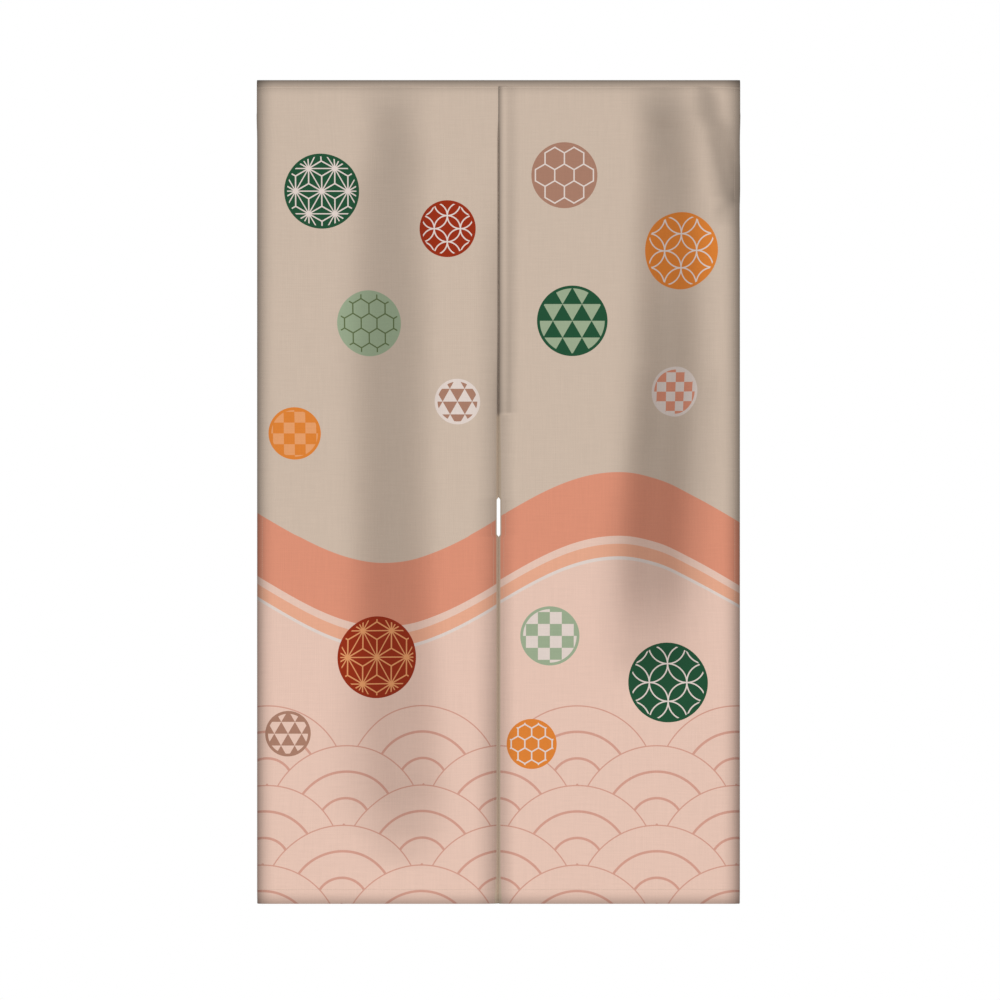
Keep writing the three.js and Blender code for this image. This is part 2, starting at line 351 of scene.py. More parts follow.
def sleeve_path():
    """The middle of the folded strip in section, as points of depth and height from end to end."""
    half = CLOTH / 2
    tab_front = FRONT + CLOTH + GAP + half
    tab_back = tab_front + CLOTH + TAB_GAP
    drop, radius = STITCH_LINE - SLEEVE_RADIUS, SLEEVE_RADIUS - half
    lean = math.atan2(-drop, tab_back) + math.acos(radius / math.hypot(drop, tab_back))
    wall = SLEEVE_FOOT - JOG_LEVEL
    path = [(tab_front, -SLEEVE_FOOT + wall * i / WALL_STEPS) for i in range(WALL_STEPS)]
    for i in range(JOG_STEPS + 1):
        forward = (FRONT + half - tab_front) * float(ease(i / JOG_STEPS))
        path.append((tab_front + forward, -JOG_LEVEL + JOG_HEIGHT * i / JOG_STEPS))
    for i in range(1, ROUND_STEPS + 1):
        angle = math.pi + (lean - math.pi) * i / ROUND_STEPS
        path.append((radius * math.cos(angle), -SLEEVE_RADIUS + radius * math.sin(angle)))
    y, z = path[-1]
    for i in range(1, BACK_STEPS + 1):
        share = i / BACK_STEPS
        path.append((y + (tab_back - y) * share, z + (-STITCH_LINE - z) * share))
    tab = SLEEVE_FOOT - STITCH_LINE
    path += [(tab_back, -STITCH_LINE - tab * i / TAB_STEPS) for i in range(1, TAB_STEPS + 1)]
    return np.array(path)


path = sleeve_path()
along = np.concatenate([[0], np.cumsum(np.linalg.norm(np.diff(path, axis=0), axis=1))])
tangent = np.gradient(path, axis=0)
tangent /= np.linalg.norm(tangent, axis=1, keepdims=True)
outward = np.stack([-tangent[:, 1], tangent[:, 0]], 1)
end_stations = HALF_WIDTH - np.array(HEADING_ENDS) * MM
between = np.linspace(-end_stations[-1], end_stations[-1], round(2 * HALF_WIDTH / HEADING_STEP))
stations = np.concatenate([-end_stations, between[1:-1], end_stations[::-1]])
shape = (len(path), len(stations))


def run_out(section):
    """The section repeated at each station along the rod."""
    grid = np.empty(shape + (3,))
    grid[..., 0] = stations[None, :]
    grid[..., 1:] = section[:, None, :]
    return grid


def beige_ground(tree, place):
    """Plain beige, with painted shade over the sleeve's round and ends, and painted light at the
    join.
    """
    return with_painted_shading(tree, linear(BEIGE)[:3])


# Painted shade: the front of the sleeve is painted darker towards the top of its round and towards
# the side ends, where less light reaches, and painted lighter where the heading meets the panels,
# which softens the line between them. Reaches are millimetres. The back of the sleeve has no such
# painted shade.
TOP_SHADE = {"reach": 30, "depth": 0.33, "power": 2}
SIDE_SHADES = {
    "left": {"reach": 40, "depth": 0.4, "power": 3},
    "right": {"reach": 36, "depth": 0.4, "power": 2.2},
}
JOIN_LIGHT = {"reach": 1.6, "depth": 0.13, "power": 1}
BACK_DEPTH = 8 * MM
in_front = ease((BACK_DEPTH - path[:, 0]) / BACK_DEPTH)[:, None]
depth_down, to_end = -path[:, 1:] / MM, (HALF_WIDTH - np.abs(stations))[None, :] / MM
end_shades = [1 - in_front * curl(to_end, **SIDE_SHADES[side]) for side in ("left", "right")]
sleeve_painted_shading = (1 - in_front * curl(depth_down, **TOP_SHADE)) * np.where(stations < 0, *end_shades)
sleeve_painted_shading *= 1 + in_front * curl(np.abs(depth_down - PANEL_TOP / MM), **JOIN_LIGHT)
heading_cloth = woven_polyester("Unprinted woven polyester", beige_ground)
heading = cloth_sheet(
    "heading_cloth",
    run_out(path + outward * CLOTH / 2),
    run_out(path - outward * CLOTH / 2),
    np.stack(np.broadcast_arrays(stations[None, :], -along[:, None]), -1),
    {"painted_shading": sleeve_painted_shading},
    np.ones(shape, dtype=bool),
    [heading_cloth],
)
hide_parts("heading")
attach(heading, "root")

# The sleeve is closed by one row of lockstitch along the tab at its back. Each stitch is a short
# length of beige spun polyester thread that lies half sunk in the cloth. The thread's twist
# shows as patches a little over a millimetre long, 900 to the metre.
STITCH_PITCH, STITCH_LENGTH, THREAD = 3.4 * MM, 2.8 * MM, 0.45 * MM
SINK, ROW_INSET = 0.05 * MM, 2 * MM
THREAD_COLOUR, THREAD_SHADOW = "CDBBAA", "B9A694"
TWIST_PATCHES = 900.0


def spun_thread():
    """Spun polyester thread: matt, with a slight unevenness along it from its twist."""
    material = bpy.data.materials.new("Spun polyester thread")
    material.use_nodes = True
    tree = material.node_tree
    shader = tree.nodes["Principled BSDF"]
    place = put(tree, "ShaderNodeTexCoord")
    twist = put(
        tree,
        "ShaderNodeTexNoise",
        {"Vector": place.outputs["Object"], "Scale": TWIST_PATCHES, "Detail": 1.0},
    )
    colour = painted(tree, THREAD_SHADOW, THREAD_COLOUR, twist.outputs["Fac"])
    tree.links.new(colour, shader.inputs["Base Color"])
    bump = put(
        tree,
        "ShaderNodeBump",
        {"Strength": 0.4, "Distance": 0.1 * MM, "Height": twist.outputs["Fac"]},
    )
    tree.links.new(bump.outputs[0], shader.inputs["Normal"])
    shader.inputs["Roughness"].default_value = 0.75
    return material


def stitch_tree():
    """Turns the lines of a mesh into rows of stitches, each a short rounded length of thread."""
    tree = bpy.data.node_groups.new("Row of stitches", "GeometryNodeTree")
    tree.interface.new_socket("Lines", in_out="INPUT", socket_type="NodeSocketGeometry")
    for name in ("Pitch", "Length", "Thread"):
        tree.interface.new_socket(name, in_out="INPUT", socket_type="NodeSocketFloat")
    tree.interface.new_socket("Material", in_out="INPUT", socket_type="NodeSocketMaterial")
    tree.interface.new_socket("Stitches", in_out="OUTPUT", socket_type="NodeSocketGeometry")
    given = put(tree, "NodeGroupInput")
    curves = put(tree, "GeometryNodeMeshToCurve", {"Mesh": given.outputs["Lines"]})
    spaced = put(
        tree,
        "GeometryNodeResampleCurve",
        {"Curve": curves, "Length": given.outputs["Pitch"]},
        mode="LENGTH",
    )
    along = put(tree, "GeometryNodeInputTangent")
    turn = put(tree, "FunctionNodeAlignRotationToVector", {"Vector": along}, axis="X")
    ball = put(tree, "GeometryNodeMeshUVSphere", {"Segments": 6, "Rings": 4, "Radius": 0.5})
    size = put(
        tree,
        "ShaderNodeCombineXYZ",
        {"X": given.outputs["Length"], "Y": given.outputs["Thread"], "Z": given.outputs["Thread"]},
    )
    rows = put(
        tree,
        "GeometryNodeInstanceOnPoints",
        {
            "Points": spaced,
            "Instance": ball,
            "Rotation": turn,
            "Scale": size,
        },
    )
    smooth = put(tree, "GeometryNodeSetShadeSmooth", {"Geometry": rows})
    real = put(tree, "GeometryNodeRealizeInstances", {"Geometry": smooth})
    coloured = put(
        tree,
        "GeometryNodeSetMaterial",
        {"Geometry": real, "Material": given.outputs["Material"]},
    )
    put(tree, "NodeGroupOutput", {"Stitches": coloured})
    return tree


stitch_row = stitch_tree()
thread = spun_thread()


def sewn_rows(name, lines):
    """A piece that holds a row of stitches along each line of points."""
    edges = []
    first = 0
    for line in lines:
        edges += [(first + i, first + i + 1) for i in range(len(line) - 1)]
        first += len(line)
    mesh = bpy.data.meshes.new(name + "_lines")
    mesh.from_pydata(np.concatenate(lines).tolist(), edges, [])
    drawn = bpy.data.objects.new(name + "_lines", mesh)
    bpy.context.collection.objects.link(drawn)
    modifier = drawn.modifiers.new("Stitches", "NODES")
    modifier.node_group = stitch_row
    sizes = {"Pitch": STITCH_PITCH, "Length": STITCH_LENGTH, "Thread": THREAD, "Material": thread}
    for socket in stitch_row.interface.items_tree:
        if socket.name in sizes:
            modifier[socket.identifier] = sizes[socket.name]
    seen_now = bpy.context.evaluated_depsgraph_get()
    made = bpy.data.meshes.new_from_object(drawn.evaluated_get(seen_now), depsgraph=seen_now)
    made.name = name
    drawn.modifiers.remove(modifier)
    bpy.data.objects.remove(drawn)
    piece = bpy.data.objects.new(name, made)
    bpy.context.collection.objects.link(piece)
    return piece


tab_y, tab_z = path[-2, 0] + CLOTH / 2 + SINK, path[-2, 1]
tab_end = HALF_WIDTH - ROW_INSET
tab_ends = np.array([(-tab_end, tab_y, tab_z), (tab_end, tab_y, tab_z)])
sleeve_stitches = sewn_rows("sleeve_stitches", [tab_ends])
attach(sleeve_stitches, "root")

# The panels
# Two widths of woven polyester, printed on the face, with their side and foot hems turned back
# and sewn. They hang from the heading, are sewn together above, and fall open at the slit.
HEM_EXTRA = 0.9 * MM
SIDE_HEM = 12 * MM
FOOT_HEM = 30 * MM
SEAM_END, SLIT_START = 584, 594
DROP = TOP - FOOT

# The panel's edge along the seam and the slit, in millimetres: the level below the top edge, the
# edge's place across, the width and set-back of its steep last strip, and the reach and depth of
# the soft curl before it. Shade is how much painted shade darkens the print beside the edge, and
# lip shade how much painted shade darkens the edge itself.
EDGE_COLUMNS = ("down", "at", "lip", "sink", "reach", "depth", "shade", "lip shade")
left_edge = [
    (58, -0.15, 2.8, 0, 26, 0, 0, 0),
    (110, -0.15, 2.8, 4, 26, 0, 0, 0),
    (420, -0.15, 2.8, 4, 28, 0, 0.12, 0),
    (584, -0.15, 2.8, 4, 30, 7, 0.16, 0),
    (594, 0.8, 4.2, 4, 30, 8, 0.17, 0.06),
    (690, 0.8, 5, 4, 30, 8.5, 0.17, 0.05),
    (733, 0.8, 5, 4, 30, 9, 0.17, 0.05),
    (739, -3, 2, 2, 30, 9, 0.17, 0.05),
    (799, -3, 2, 2, 30, 9.5, 0.18, 0.05),
    (805, 0.8, 4.2, 4, 30, 10, 0.18, 0.05),
    (1230, 0.8, 4.2, 4, 30, 10, 0.26, 0.04),
    (1392, 0.8, 4.2, 4, 30, 10, 0.24, 0.02),
    (1420, 0.8, 6.2, 4, 30, 9.5, 0.24, 0),
    (1450, 0.8, 7, 3.6, 30, 8.5, 0.2, 0),
]
right_edge = [
    (58, 0.15, 2.8, 0, 20, 0, 0, 0),
    (110, 0.15, 2.8, 4, 20, 0, 0, 0),
    (584, 0.15, 2.8, 4, 20, 1, 0.02, 0),
    (594, -0.2, 3.4, 3, 22, 1.5, 0.16, 0.14),
    (690, -0.2, 4.6, 3, 22, 2, 0.16, 0.13),
    (733, -0.2, 4.6, 3, 22, 2, 0.16, 0.13),
    (739, 3, 2, 2, 22, 2, 0.16, 0.13),
    (799, 3, 2, 2, 22, 2, 0.16, 0.12),
    (805, -0.2, 3.4, 3, 22, 2.5, 0.16, 0.12),
    (1392, -0.2, 3.4, 3, 22, 2.5, 0.2, 0.1),
    (1420, -0.2, 4.8, 3, 22, 2.8, 0.21, 0.08),
    (1450, -0.2, 5.6, 2.8, 22, 3, 0.2, 0.07),
]

# The folds, in millimetres: the level below the top edge, the fold's centre across the curtain,
# half its width, and how far back the cloth lies there
FOLD_COLUMNS = ("down", "centre", "reach", "depth")
left_hollow = [
    (58, -186, 84, 0.4),
    (100, -186, 84, 10),
    (160, -186, 84, 19),
    (500, -186, 84, 25),
    (870, -184, 86, 29),
    (1090, -174, 86, 26),
    (1230, -164, 84, 24),
    (1330, -154, 80, 13),
    (1410, -148, 76, 0),
]
right_hollow = [
    (58, 288, 72, 0.4),
    (95, 292, 72, 14),
    (150, 297, 70, 22),
    (490, 300, 70, 28),
    (600, 288, 70, 31),
    (700, 279, 72, 30),
    (880, 272, 74, 28),
    (1000, 270, 76, 12),
    (1090, 270, 76, 0),
]
corner_hollow = [
    (58, 374, 26, 0.4),
    (90, 385, 27, 6),
    (140, 399, 28, 9),
    (178, 409, 28, 10),
    (230, 425, 30, 7),
    (300, 440, 32, 0),
]
edge_pinch = [(180, 418, 8, 0), (202, 416, 9, 2.5), (226, 419, 8, 0)]

# The painted shade in each fold, which spreads wider than its bend: the level, its centre, how far
# it spreads to the left and to the right, and how much darker it is at the centre
SHADE_COLUMNS = ("down", "centre", "left", "right", "share")
left_shade = [
    (14, -186, 95, 85, 0.06),
    (37, -185, 95, 85, 0.085),
    (60, -186, 76, 76, 0.12),
    (130, -186, 76, 84, 0.14),
    (212, -186, 104, 80, 0.137),
    (485, -187, 118, 98, 0.15),
    (640, -187, 110, 96, 0.155),
    (860, -187, 106, 102, 0.16),
    (1200, -172, 156, 108, 0.14),
    (1245, -165, 160, 106, 0.145),
    (1313, -163, 140, 102, 0.11),
    (1350, -168, 105, 95, 0.065),
    (1400, -170, 100, 90, 0),
]
right_shade = [
    (14, 289, 74, 58, 0.09),
    (37, 288, 76, 76, 0.15),
    (60, 288, 70, 84, 0.19),
    (90, 293, 68, 84, 0.19),
    (130, 299, 74, 76, 0.185),
    (165, 304, 80, 74, 0.175),
    (300, 305, 98, 90, 0.155),
    (485, 304, 108, 95, 0.195),
    (545, 288, 92, 132, 0.205),
    (635, 285, 98, 128, 0.215),
    (860, 278, 124, 116, 0.215),
    (1000, 270, 120, 120, 0.1),
    (1090, 270, 110, 110, 0),
]
corner_shade = [
    (14, 362, 26, 26, 0.1),
    (32, 367, 35, 34, 0.165),
    (54, 370, 36, 38, 0.17),
    (96, 388, 38, 38, 0.165),
    (138, 397, 42, 33, 0.165),
    (165, 400, 42, 42, 0.16),
    (200, 406, 44, 38, 0.16),
    (212, 406, 34, 34, 0.145),
    (222, 398, 26, 32, 0.12),
    (233, 391, 20, 42, 0.09),
    (247, 392, 20, 42, 0.05),
    (262, 394, 20, 42, 0),
]

# The seam allowance under the right panel lifts a strip of it. Painted shade darkens the print
# just past the strip's edge, and lower down the whole strip
STRIP_COLUMNS = ("down", "edge shade", "whole shade")
lifted_strip = [
    (14, 0.05, 0),
    (100, 0.065, 0),
    (300, 0.08, 0.02),
    (500, 0.08, 0.06),
    (584, 0.06, 0.085),
    (588, 0, 0),
]
STRIP_SHADE = {"centre": 21, "left": 12, "right": 18}
STRIP_WHOLE = {"reach": 25, "fall": 6}
STRIP_LIFT = {"reach": 18, "fall": 6, "rise": 1.4}
# GROOVE_SHADE is painted shade along the groove of the sewn seam
GROOVE_SHADE = {"reach": 12, "depth": 0.36, "power": 2}

# How the side edges, the foot and the edges at the slit curl back, and the painted shade at the
# foot
OUTER_CURL = {"reach": 17, "depth": 5, "power": 2.5}
FOOT_CURL = {"reach": 33, "depth": 8, "power": 2}
CURL_POWER, LIP_POWER = 2.2, 1.2
FOOT_SHADE = {"reach": 24, "depth": 0.22, "power": 1.6}

# How far below the sleeve the side edges come free to curl, and how far past its lip the bare
# edge of the slit runs and over what width the print then begins
FREE_FALL = 52
BARE_PAST, BARE_BLUR = 0.4, 0.6

# Each panel's inner shade is the reach and power of the painted shade beside its edge at the slit
PANELS = (
    {
        "name": "left",
        "side": -1,
        "edge": left_edge,
        "folds": (left_hollow,),
        "shades": (left_shade,),
        "lift": 0.0,
        "inner shade": {"reach": 45, "power": 1.3},
    },
    {
        "name": "right",
        "side": 1,
        "edge": right_edge,
        "folds": (right_hollow, corner_hollow, edge_pinch),
        "shades": (right_shade, corner_shade),
        "lift": STRIP_LIFT["rise"],
        "inner shade": {"reach": 30, "power": 1.1},
    },
)

# The panel's grid, in millimetres: distances down from its top, in from its side edges and up
# from its foot where the cloth bends or its hem ends, the levels where the edge at the slit
# changes, and the steps between
TOP_MARKS = (0, 0.6, 1.5, 3)
OUTER_MARKS = (0.5, 1.2, 2, 3.2, 5, 7, 9.5, 11.8, 12.4, 15, 18)
INNER_MARKS = (
    0.15, 0.6, 1.1, 1.6, 2.2, 2.8, 3.5, 4.2, 5.2, 6.5, 8, 9.5, 11.8, 12.4, 15, 18, 21, 24,
)
FOOT_MARKS = (33, 30.3, 29.7, 26, 22, 18, 14, 11, 8, 5.5, 3.5, 2, 1, 0.6)
CHANGE_LEVELS = ((575, 600), (728, 744), (794, 810))
FIELD_COLUMNS, ROW_STEP, CHANGE_STEP = 86, 5.2, 1.5


def row_at(rows, columns, down):
    """The columns of a table at each level, by name, eased from row to row."""
    table = dict(zip(columns, np.array(rows, dtype=float).T))
    levels = table["down"]
    after = np.clip(np.searchsorted(levels, down), 1, len(rows) - 1)
    share = ease((down - levels[after - 1]) / (levels[after] - levels[after - 1]))
    return {
        name: column[after - 1] + (column[after] - column[after - 1]) * share
        for name, column in table.items()
    }


def bell(across, centre, left, right):
    """A soft hump that is 1 at its centre and 0 past its spread to the left or the right."""
    off = np.where(across < centre, (centre - across) / left, (across - centre) / right)
    return 0.5 + 0.5 * np.cos(math.pi * np.clip(off, 0, 1))


def lie(panel, across, down):
    """How far back the cloth lies at places across the curtain, its painted shade and light, where
    its unprinted edge shows, and how far the places are from the panel's inner and outer edges."""
    edge = row_at(panel["edge"], EDGE_COLUMNS, down)
    to_inner = np.clip(panel["side"] * (across - edge["at"]), 0, None)
    to_outer = HALF_WIDTH / MM - np.abs(across)
    to_foot = DROP / MM - down
    sewn = 1 - ease((down - SEAM_END) / (SLIT_START - SEAM_END))
    free = ease((down - SLEEVE_FOOT / MM) / FREE_FALL)

    back = np.zeros_like(across)
    painted_shading = np.ones_like(across)
    for rows in panel["folds"]:
        fold = row_at(rows, FOLD_COLUMNS, down)
        back += fold["depth"] * bell(across, fold["centre"], fold["reach"], fold["reach"])
    back += curl(to_inner, edge["reach"], edge["depth"], CURL_POWER)
    back += curl(to_inner, edge["lip"], edge["sink"], LIP_POWER)
    back += free * curl(to_outer, **OUTER_CURL)
    back += curl(to_foot, **FOOT_CURL)

    bare = (1 - sewn) * ease((edge["lip"] + BARE_PAST - to_inner) / BARE_BLUR)
    # Painted shade in the folds, along every edge and by the seam allowance; painted light at the
    # heading
    for rows in panel["shades"]:
        shade = row_at(rows, SHADE_COLUMNS, down)
        painted_shading *= 1 - shade["share"] * bell(across, shade["centre"], shade["left"], shade["right"])
    painted_shading *= 1 - (1 - bare) * curl(to_inner, depth=edge["shade"], **panel["inner shade"])
    painted_shading *= 1 - bare * edge["lip shade"]
    painted_shading *= 1 - curl(to_outer, **SIDE_SHADES[panel["name"]])
    painted_shading *= 1 - curl(to_foot, **FOOT_SHADE)
    painted_shading *= 1 - curl(down, **TOP_SHADE)
    painted_shading *= 1 + curl(down - PANEL_TOP / MM, **JOIN_LIGHT)
    if panel["lift"]:
        back -= panel["lift"] * sewn * ease((STRIP_LIFT["reach"] - to_inner) / STRIP_LIFT["fall"])
        strip = row_at(lifted_strip, STRIP_COLUMNS, down)
        painted_shading *= 1 - strip["edge shade"] * bell(to_inner, **STRIP_SHADE)
        whole = ease((STRIP_WHOLE["reach"] - to_inner) / STRIP_WHOLE["fall"])
        painted_shading *= 1 - strip["whole shade"] * whole
        painted_shading *= 1 - sewn * curl(to_inner, **GROOVE_SHADE)
    return back, painted_shading, bare, to_inner, to_outer


def levels_down():
    """The rows of a panel's grid, close together where its edges change and at its foot."""
    levels = [PANEL_TOP / MM + mark for mark in TOP_MARKS]
    foot = [DROP / MM - mark for mark in FOOT_MARKS]
    while levels[-1] < foot[0] - ROW_STEP:
        changing = any(low < levels[-1] < high for low, high in CHANGE_LEVELS)
        levels.append(levels[-1] + (CHANGE_STEP if changing else ROW_STEP))
    return np.array(levels + foot)


def panel_grids(panel):
    """A panel as grids: its face, its back, its places when flat, its attributes and its hems."""
    down = levels_down()[:, None]
    side = panel["side"]
    edge_at = row_at(panel["edge"], EDGE_COLUMNS, down)["at"]
    inner = edge_at + side * np.array(INNER_MARKS)[None, ::-1]
    outer = side * (HALF_WIDTH / MM - np.array(OUTER_MARKS))[None, :] + 0 * down
    share = np.arange(1, FIELD_COLUMNS)[None, :] / FIELD_COLUMNS
    field = outer[:, -1:] + (inner[:, :1] - outer[:, -1:]) * share
    across = np.concatenate([outer, field, inner], axis=1)
    down = down + 0 * across
    back, painted_shading, bare, to_inner, to_outer = lie(panel, across, down)
    face = np.stack([across * MM, FRONT + back * MM, -down * MM], -1)

    over = np.gradient(face, axis=1)
    below = np.gradient(face, axis=0)
    normal = np.cross(over, below)
    normal /= np.linalg.norm(normal, axis=2, keepdims=True)
    normal *= np.sign(normal[..., 1:2])
    on_sleeve = down <= SLEEVE_FOOT / MM
    normal[on_sleeve] = (0, 1, 0)
    to_side = np.minimum(to_inner, to_outer)
    hem = ((to_side < SIDE_HEM / MM) & ~on_sleeve) | (DROP / MM - down < FOOT_HEM / MM)
    thick = np.where(hem, CLOTH + HEM_EXTRA, CLOTH)
    behind = face + normal * thick[..., None]

    step = np.linalg.norm(np.diff(face[:, :, :2], axis=1), axis=2)
    run = np.zeros(across.shape)
    run[:, :-1] = np.cumsum(step[:, ::-1], axis=1)[:, ::-1]
    flat = np.stack([edge_at * MM + side * (run + INNER_MARKS[0] * MM), -down * MM], -1)
    return face, behind, flat, {"painted_shading": painted_shading, "bare": bare}, hem


# Pigment is printed on the face: scattered roundels of traditional ornament on beige and pale
# pink, parted by a coral wave, over a foot of overlapping fans. Sizes are millimetres of flat
# cloth, across from the middle of the curtain and down from its top. The wave's bands start and
# end so far below its line, and each fan has its rings of lines.
COLOURS = {
    "beige": BEIGE,
    "coral": "D98F74",
    "light coral": "E3A78A",
    "pink": "E3C2B2",
    "line": "CF9A89",
    "dark green": "1A4D31",
    "sage": "98A88B",
    "moss": "5F6E47",
    "orange": "DA7F30",
    "light orange": "E29B66",
    "rust": "962A06",
    "taupe": "A67B67",
    "cream": "DDCFC7",
    "bare edge": "C6B29C",
}
ROUNDEL_COLUMNS = ("across", "down", "radius", "ground", "figure", "pattern", "pitch")
ROUNDELS = (
    (-318, 196, 66, "dark green", "cream", "hemp leaf", 46),
    (-92, 262, 50, "rust", "cream", "linked circles", 23),
    (-236, 428, 58, "sage", "moss", "tortoiseshell", 30),
    (-372, 622, 46, "orange", "light orange", "checks", 19),
    (-76, 566, 40, "cream", "taupe", "scales", 26),
    (118, 168, 58, "taupe", "cream", "tortoiseshell", 34),
    (330, 300, 68, "orange", "cream", "linked circles", 30),
    (132, 424, 62, "dark green", "sage", "scales", 34),
    (322, 548, 44, "cream", "coral", "checks", 17),
    (-226, 1016, 72, "rust", "light orange", "hemp leaf", 54),
    (92, 978, 52, "sage", "cream", "checks", 21),
    (300, 1060, 70, "dark green", "cream", "linked circles", 33),
    (-384, 1150, 40, "taupe", "pink", "scales", 24),
    (60, 1168, 44, "orange", "cream", "tortoiseshell", 24),
)
ROUNDEL_LINE, ROUNDEL_BORDER = 2.4, 5
WAVE = {"level": 770, "rise": 80, "length": 850}
WAVE_BANDS = ((0, 112, "coral"), (126, 148, "light coral"), (148, 154, "cream"))
FANS = {"radius": 140, "top row": 3, "rings": 3.0, "line": 2.2}
SHOW_THROUGH = 0.4


def ornament(name, numbers, outputs):
    """An empty node group that takes a place and some numbers, and gives numbers."""
    group = bpy.data.node_groups.new(name, "ShaderNodeTree")
    group.interface.new_socket("Place", in_out="INPUT", socket_type="NodeSocketVector")
    for socket in numbers:
        group.interface.new_socket(socket, in_out="INPUT", socket_type="NodeSocketFloat")
    for socket in outputs:
        group.interface.new_socket(socket, in_out="OUTPUT", socket_type="NodeSocketFloat")
    return group, put(group, "NodeGroupInput")


def triangle_lattice(name):
    """A figure drawn from a lattice of equilateral triangles of side 1. Each place has three
    shares, one for each corner of its triangle; least, middle and most are those in order."""
    group, given = ornament(name, ("Line",), ("Figure",))
    split = put(group, "ShaderNodeSeparateXYZ", {0: given.outputs["Place"]})
    x, y = split.outputs[0], split.outputs[1]
    root = math.sqrt(3)
    up = put(group, "ShaderNodeMath", {0: y, 1: 2 / root}, operation="MULTIPLY")
    lean = put(group, "ShaderNodeMath", {0: y, 1: -1 / root, 2: x}, operation="MULTIPLY_ADD")
    u = put(group, "ShaderNodeMath", {0: lean}, operation="FRACT")
    v = put(group, "ShaderNodeMath", {0: up}, operation="FRACT")
    both = put(group, "ShaderNodeMath", {0: u, 1: v}, operation="ADD")
    turned = put(group, "ShaderNodeMath", {0: both, 1: 1.0}, operation="GREATER_THAN")
    shares = []
    for whole, part in ((1.0, both), (turned, u), (turned, v)):
        off = put(group, "ShaderNodeMath", {0: whole, 1: part}, operation="SUBTRACT")
        shares.append(put(group, "ShaderNodeMath", {0: off}, operation="ABSOLUTE"))
    ends = []
    for end in ("MINIMUM", "MAXIMUM"):
        pair = put(group, "ShaderNodeMath", {0: shares[0], 1: shares[1]}, operation=end)
        ends.append(put(group, "ShaderNodeMath", {0: pair, 1: shares[2]}, operation=end))
    least, most = ends
    sum_ends = put(group, "ShaderNodeMath", {0: least, 1: most}, operation="ADD")
    middle = put(group, "ShaderNodeMath", {0: 1.0, 1: sum_ends}, operation="SUBTRACT")
    line = given.outputs["Line"]
    half_line = put(group, "ShaderNodeMath", {0: line, 1: 2.0}, operation="MULTIPLY")
    found = turned
    if name != "scales":
        top, low = (middle, least) if name == "hemp leaf" else (most, middle)
        apart = put(group, "ShaderNodeMath", {0: top, 1: low}, operation="SUBTRACT")
        found = put(group, "ShaderNodeMath", {0: apart, 1: half_line}, operation="LESS_THAN")
    if name == "hemp leaf":
        side = put(group, "ShaderNodeMath", {0: least, 1: line}, operation="LESS_THAN")
        found = put(group, "ShaderNodeMath", {0: found, 1: side}, operation="MAXIMUM")
    put(group, "NodeGroupOutput", {"Figure": found})
    return group


def linked_circles():
    """Circles of radius 1 round alternate corners of a lattice of side 1, so that they cross."""
    group, given = ornament("linked circles", ("Line",), ("Figure",))
    split = put(group, "ShaderNodeSeparateXYZ", {0: given.outputs["Place"]})
    folded = [
        put(group, "ShaderNodeMath", {0: split.outputs[i], 1: 1.0}, operation="PINGPONG")
        for i in (0, 1)
    ]
    corner = put(group, "ShaderNodeCombineXYZ", {0: folded[0], 1: folded[1]})
    near = []
    for centre in ((0, 0, 0), (1, 1, 0)):
        away = put(group, "ShaderNodeVectorMath", {0: corner, 1: centre}, operation="DISTANCE")
        distance = {0: away.outputs["Value"], 1: 1.0}
        off = put(group, "ShaderNodeMath", distance, operation="SUBTRACT")
        near.append(put(group, "ShaderNodeMath", {0: off}, operation="ABSOLUTE"))
    nearest = put(group, "ShaderNodeMath", {0: near[0], 1: near[1]}, operation="MINIMUM")
    on_line = {0: nearest, 1: given.outputs["Line"]}
    found = put(group, "ShaderNodeMath", on_line, operation="LESS_THAN")
    put(group, "NodeGroupOutput", {"Figure": found})
    return group


def checks():
    """Squares of side 1, light and dark in turn."""
    group, given = ornament("checks", ("Line",), ("Figure",))
    squares = put(
        group,
        "ShaderNodeTexChecker",
        {
            "Vector": given.outputs["Place"],
            "Color1": linear("FFFFFF"),
            "Color2": linear("000000"),
            "Scale": 1.0,
        },
    )
    put(group, "NodeGroupOutput", {"Figure": squares.outputs["Fac"]})
    return group


